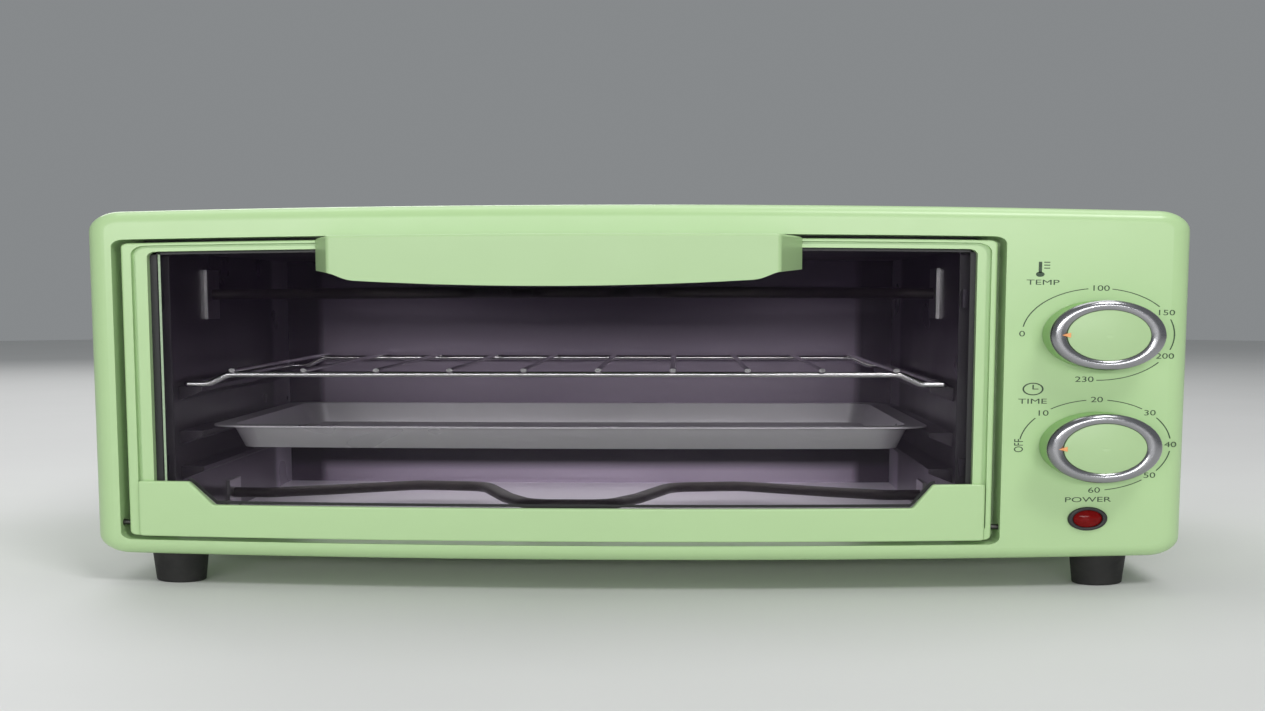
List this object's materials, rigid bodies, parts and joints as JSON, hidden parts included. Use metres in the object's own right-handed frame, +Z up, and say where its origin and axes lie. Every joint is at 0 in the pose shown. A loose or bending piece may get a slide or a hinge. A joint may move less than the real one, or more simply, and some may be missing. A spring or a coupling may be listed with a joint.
{
  "type": "toaster oven",
  "caption": "Small bench-top toaster oven with a drop-down glass door, two control knobs, a wire rack and a baking tray, for heating and toasting food.",
  "frame": {"origin": "on the surface it stands on, under the middle of the whole oven's box", "axes": "+X to the oven's right as its user faces it, -Y towards the user (door and knobs), +Z up"},
  "size_m": [0.36, 0.256, 0.213],
  "materials": {
    "painted_green": "satin light green enamel",
    "green_plastic": "light green moulding, low gloss",
    "back_sheet": "satin light green paint on sheet",
    "liner": "aluminised sheet, softly reflective",
    "tray": "plain pressed steel",
    "bracket_steel": "plated steel",
    "bright_wire": "bright plated wire",
    "heater_sheath": "dark oxidised steel sheath",
    "ceramic": "white glazed ceramic",
    "chrome_ring": "satin chrome",
    "pointer_orange": "orange mark",
    "steel_pin": "turned steel",
    "screw_steel": "zinc plated",
    "black_plastic": "black moulding",
    "control_case": "plated case",
    "rubber_foot": "black rubber",
    "door_glass": "lightly tinted glass",
    "lamp_red": "dark red lens",
    "lead_sleeve": "woven glass sleeve"
  },
  "bodies": {
    "casing": {"front_fascia": "painted_green", "outer_shell": "painted_green", "back_panel": "back_sheet", "base_plate": "back_sheet", "chamber_left_wall": "liner", "chamber_right_wall": "liner", "chamber_back_wall": "liner", "chamber_ceiling": "liner", "chamber_floor": "liner", "chamber_front_frame": "liner", "heat_shield": "liner", "heater_brackets": "bracket_steel", "hinge_brackets": "bracket_steel", "control_bracket": "bracket_steel", "upper_heater": "heater_sheath", "lower_heater": "heater_sheath", "heater_insulators": "ceramic", "control_nuts": "steel_pin", "timer_bell": "steel_pin", "back_screws": "screw_steel", "foot_screws": "screw_steel", "bracket_screws": "screw_steel", "cord_gland": "black_plastic", "terminal_block": "black_plastic", "pilot_lamp_body": "black_plastic", "pilot_lamp_bezel": "black_plastic", "thermostat": "control_case", "timer": "control_case", "foot_front_left": "rubber_foot", "foot_front_right": "rubber_foot", "foot_rear_left": "rubber_foot", "foot_rear_right": "rubber_foot", "pilot_lamp_lens": "lamp_red", "wiring": "lead_sleeve"},
    "door": {"door_frame": "painted_green", "door_bottom_strip": "painted_green", "door_glass": "door_glass", "door_handle": "green_plastic", "handle_screws": "screw_steel", "glass_clips": "bracket_steel", "door_hinge_pins": "steel_pin"},
    "temperature_knob": {"temperature_knob": "green_plastic", "temperature_knob_ring": "chrome_ring", "temperature_knob_cap": "green_plastic", "temperature_knob_pointer": "pointer_orange", "temperature_shaft": "steel_pin"},
    "timer_knob": {"timer_knob": "green_plastic", "timer_knob_ring": "chrome_ring", "timer_knob_cap": "green_plastic", "timer_knob_pointer": "pointer_orange", "timer_shaft": "steel_pin"},
    "rack": {"wire_rack": "bright_wire"},
    "tray": {"baking_tray": "tray"}
  },
  "joints": [
    {"name": "door_hinge", "type": "hinge", "parent": "casing", "child": "door", "pos_m": [0, -0.099, 0.036], "axis": [1, 0, 0], "range_deg": [0, 90]},
    {"name": "temperature_knob_turn", "type": "hinge", "parent": "casing", "child": "temperature_knob", "pos_m": [0.149, -0.104, 0.144], "axis": [0, 1, 0], "range_deg": [0, 280]},
    {"name": "timer_knob_turn", "type": "hinge", "parent": "casing", "child": "timer_knob", "pos_m": [0.149, -0.104, 0.0823], "axis": [0, 1, 0], "range_deg": [0, 270]},
    {"name": "rack_slide", "type": "slide", "parent": "casing", "child": "rack", "axis": [0, -1, 0], "range_m": [0, 0.0605]},
    {"name": "tray_slide", "type": "slide", "parent": "casing", "child": "tray", "axis": [0, -1, 0], "range_m": [0, 0.0505]}
  ],
  "couplings": [
    {"joint": "rack_slide", "follows": "door_hinge", "m_per_rad": 0.038197},
    {"joint": "tray_slide", "follows": "door_hinge", "m_per_rad": 0.031831}
  ]
}
